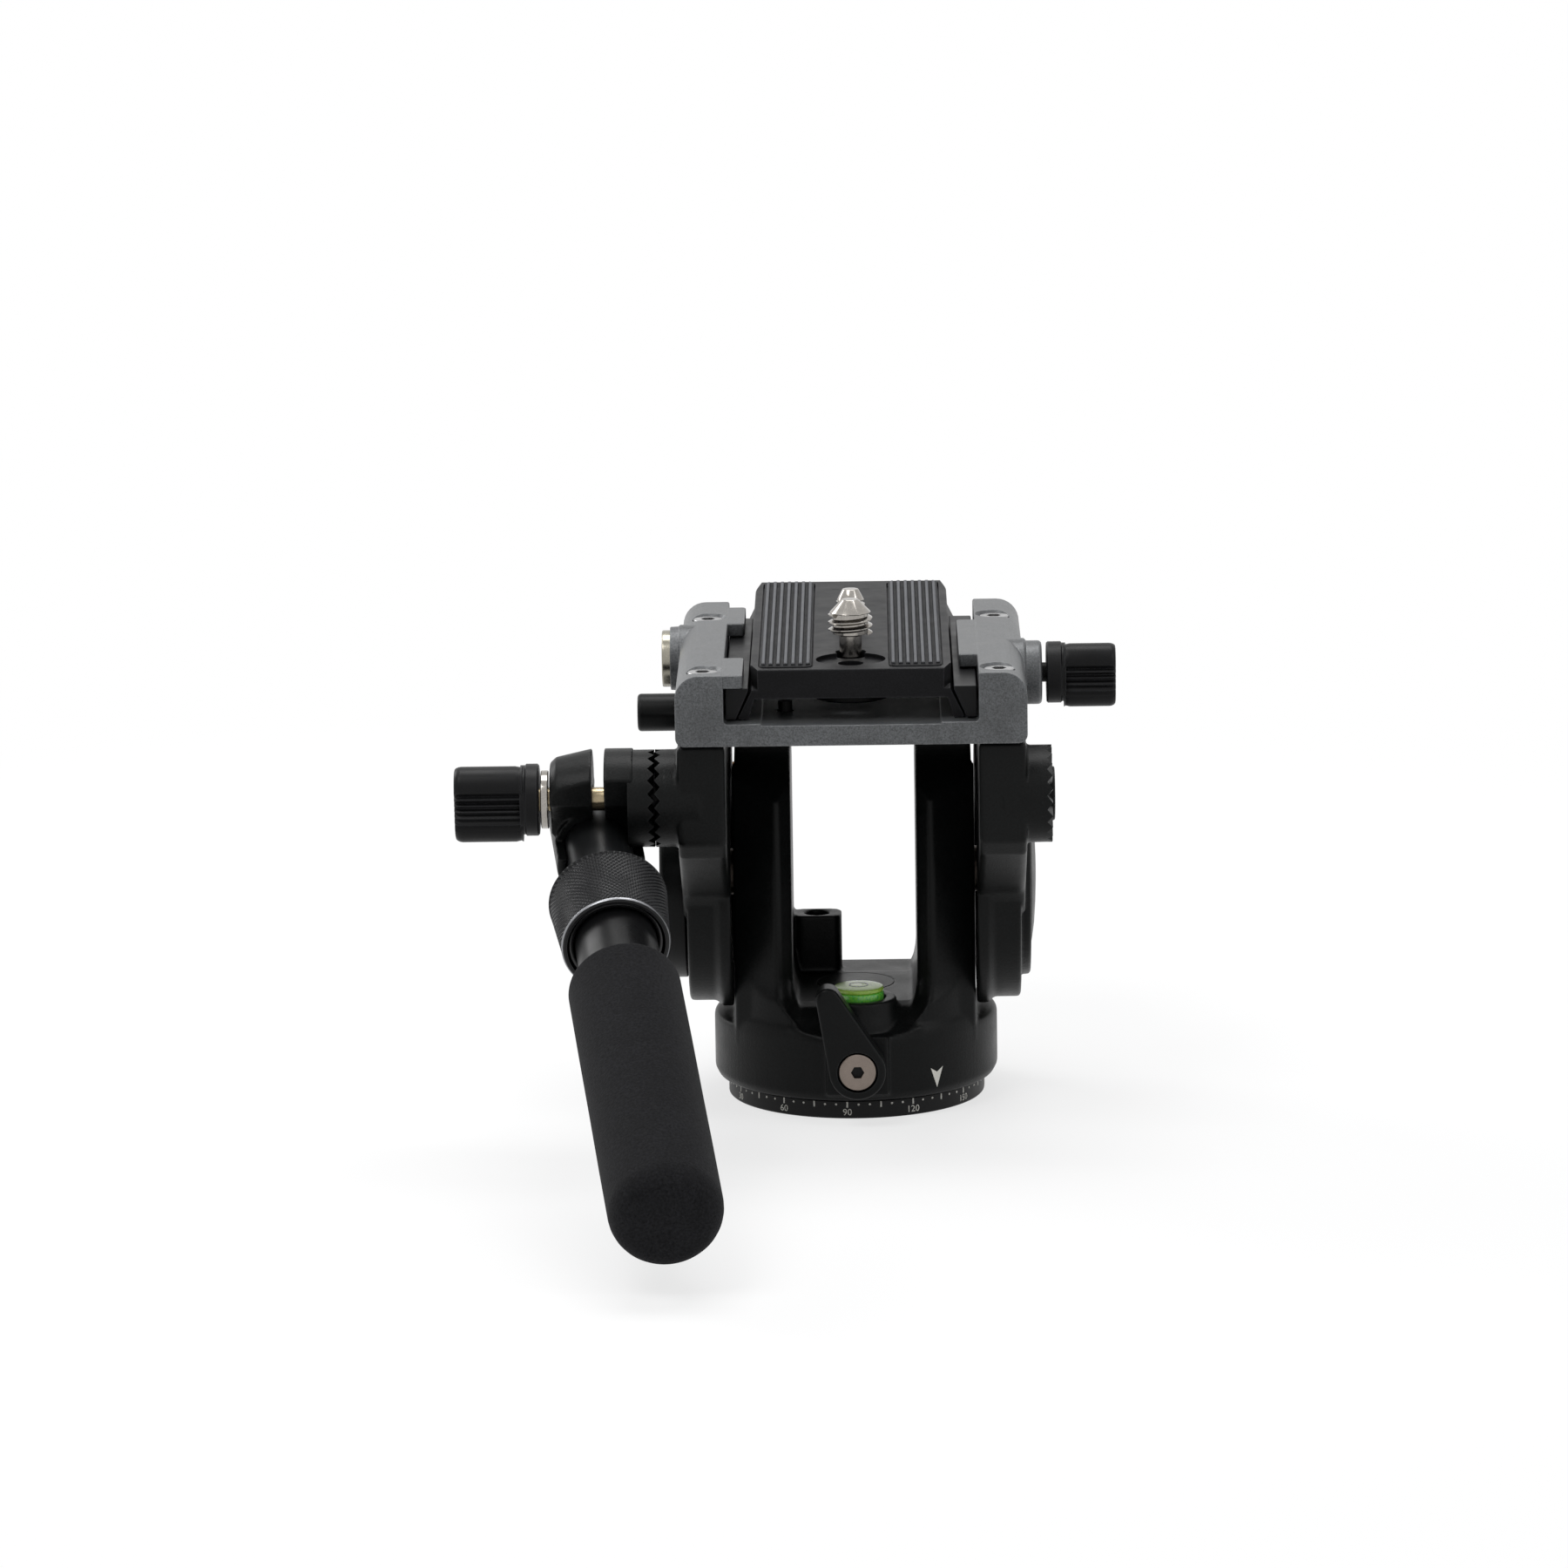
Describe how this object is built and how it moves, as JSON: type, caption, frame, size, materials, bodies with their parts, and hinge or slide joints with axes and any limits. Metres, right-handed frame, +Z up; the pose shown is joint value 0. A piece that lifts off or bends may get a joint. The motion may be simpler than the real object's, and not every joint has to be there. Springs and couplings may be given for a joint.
{
  "type": "fluid video head",
  "caption": "Fluid video tripod head with a panning twin-pillar case, a tilting grey platform with a sliding camera plate, and a telescopic foam-grip handle.",
  "frame": {"origin": "centre of the underside of the base ring, where it stands on a tripod or a table", "axes": "+Z up along the pan axis, -Y towards the operator and the handle's free end, +X to the operator's right along the tilt axis"},
  "size_m": [0.1408, 0.2302, 0.115],
  "materials": {
    "black_casting": "black powder coat, fine leather texture",
    "base_ring": "satin black anodised",
    "grey_casting": "grey metallic fine texture paint",
    "plate_metal": "dark grey, sand blasted and anodised",
    "pad_rubber": "matte",
    "bright_steel": "polished stainless steel",
    "cap_screw_steel": "turned steel",
    "bronze": "machined",
    "acetal": "moulded",
    "moulded_black": "moulded, fine grain",
    "vial": "clear over green liquid",
    "nickel": "nickel plated",
    "tube_black": "satin black anodised",
    "grip_foam": "closed cell foam, fine grain",
    "spring_steel": "wound wire"
  },
  "bodies": {
    "base": {"base_scale_ring": "base_ring", "pan_shaft": "bright_steel", "pan_thrust_washer": "acetal", "pan_shaft_nut": "bright_steel", "pan_drag_rotor": "acetal"},
    "pan_head": {"pan_housing": "black_casting", "pan_bearing": "bright_steel", "shaft_cover": "moulded_black", "bubble_level": "vial", "tilt_bushing_left": "bronze", "tilt_bushing_right": "bronze", "tilt_drag_cup_left": "acetal", "tilt_drag_cup_right": "acetal"},
    "pan_lock": {"pan_lock_lever": "black_casting", "pan_lock_screw": "cap_screw_steel"},
    "pan_shoe": {"pan_brake_shoe": "bronze"},
    "tilt_head": {"tilt_arm_left": "black_casting", "tilt_arm_right": "black_casting", "drum_cover_right": "black_casting", "tilt_axle_left": "bright_steel", "tilt_axle_right": "bright_steel", "tilt_axle_nut_left": "bright_steel", "tilt_axle_nut_right": "bright_steel", "tilt_drag_rotor_left": "acetal", "tilt_drag_rotor_right": "acetal", "counterbalance_spring": "spring_steel", "top_platform": "grey_casting", "platform_screw_front_left": "cap_screw_steel", "platform_screw_front_right": "cap_screw_steel", "platform_screw_rear_left": "cap_screw_steel", "platform_screw_rear_right": "cap_screw_steel", "left_dovetail_rail": "moulded_black", "safety_button_spring": "spring_steel", "safety_stop_pin": "bright_steel"},
    "tilt_dial": {"tilt_drag_dial": "black_casting"},
    "tilt_lock": {"tilt_lock_lever": "black_casting", "tilt_lock_screw": "cap_screw_steel"},
    "tilt_shoe": {"tilt_brake_shoe": "bronze"},
    "plate": {"quick_release_plate": "plate_metal", "plate_pad_left": "pad_rubber", "plate_pad_right": "pad_rubber"},
    "large_screw": {"camera_screw_large": "bright_steel"},
    "small_screw": {"camera_screw_small": "bright_steel"},
    "plate_knob": {"plate_lock_knob": "moulded_black"},
    "plate_jaw": {"plate_clamp_jaw": "moulded_black"},
    "release_button": {"safety_button": "nickel"},
    "clamp": {"handle_clamp": "black_casting", "clamp_washer": "bright_steel", "handle_inner_tube": "tube_black"},
    "clamp_knob": {"clamp_knob": "moulded_black", "clamp_stud": "bronze"},
    "handle": {"handle_outer_tube": "tube_black", "handle_grip": "grip_foam", "collar_bush": "moulded_black", "handle_collet": "acetal"},
    "collar": {"handle_collar": "tube_black"}
  },
  "joints": [
    {"name": "pan", "type": "hinge", "parent": "base", "child": "pan_head", "pos_m": [0, 0, 0], "axis": [0, 0, 1], "continuous": true},
    {"name": "pan_lock_turn", "type": "hinge", "parent": "pan_head", "child": "pan_lock", "pos_m": [0.0003, -0.038, 0.01265], "axis": [0, -1, 0], "range_deg": [0, 60]},
    {"name": "pan_shoe_press", "type": "slide", "parent": "pan_head", "child": "pan_shoe", "axis": [0, -1, 0], "range_m": [0, 0.00020944]},
    {"name": "tilt", "type": "hinge", "parent": "pan_head", "child": "tilt_head", "pos_m": [0, 0, 0.049], "axis": [1, 0, 0], "range_deg": [-60, 65]},
    {"name": "tilt_drag", "type": "hinge", "parent": "tilt_head", "child": "tilt_dial", "pos_m": [0, 0, 0.049], "axis": [-1, 0, 0], "range_deg": [-120, 120]},
    {"name": "tilt_lock_turn", "type": "hinge", "parent": "tilt_head", "child": "tilt_lock", "pos_m": [-0.036, 0.02, 0.066], "axis": [-1, 0, 0], "range_deg": [0, 30]},
    {"name": "tilt_shoe_press", "type": "slide", "parent": "tilt_head", "child": "tilt_shoe", "axis": [-1, 0, 0], "range_m": [0, 0.00020944]},
    {"name": "plate_slide", "type": "slide", "parent": "tilt_head", "child": "plate", "axis": [0, -1, 0], "range_m": [-0.025, 0.025]},
    {"name": "large_screw_turn", "type": "hinge", "parent": "plate", "child": "large_screw", "pos_m": [0, -0.0333, 0.1], "axis": [0, 0, 1], "continuous": true},
    {"name": "small_screw_turn", "type": "hinge", "parent": "plate", "child": "small_screw", "pos_m": [0, 0.001, 0.1], "axis": [0, 0, 1], "continuous": true},
    {"name": "plate_lock_turn", "type": "hinge", "parent": "tilt_head", "child": "plate_knob", "pos_m": [0.046, -0.017, 0.0956], "axis": [1, 0, 0], "range_deg": [0, 130]},
    {"name": "plate_jaw_slide", "type": "slide", "parent": "tilt_head", "child": "plate_jaw", "axis": [1, 0, 0], "range_m": [0, 0.00028815]},
    {"name": "button_press", "type": "slide", "parent": "tilt_head", "child": "release_button", "axis": [1, 0, 0], "range_m": [0, 0.0018], "stiffness_N_per_m": 300, "deforming": ["safety_button_spring"]},
    {"name": "handle_angle", "type": "hinge", "parent": "tilt_head", "child": "clamp", "pos_m": [-0.0544, -0.0445, 0.0747], "axis": [-1, 0, 0], "range_deg": [-65.45, 98.18]},
    {"name": "clamp_knob_turn", "type": "hinge", "parent": "tilt_head", "child": "clamp_knob", "pos_m": [-0.0841, -0.0445, 0.0747], "axis": [-1, 0, 0], "continuous": true},
    {"name": "handle_extend", "type": "slide", "parent": "clamp", "child": "handle", "axis": [0.1227, -0.9317, -0.342], "range_m": [0, 0.08]},
    {"name": "collar_turn", "type": "hinge", "parent": "handle", "child": "collar", "pos_m": [-0.0544, -0.04074, 0.06436], "axis": [0.1227, -0.9317, -0.342], "range_deg": [0, 90]}
  ],
  "couplings": [
    {"joint": "pan_shoe_press", "follows": "pan_lock_turn", "m_per_rad": 0.0002},
    {"joint": "tilt_shoe_press", "follows": "tilt_lock_turn", "m_per_rad": 0.0004},
    {"joint": "plate_lock_turn", "follows": "plate_jaw_slide", "rad_per_m": 7874}
  ]
}
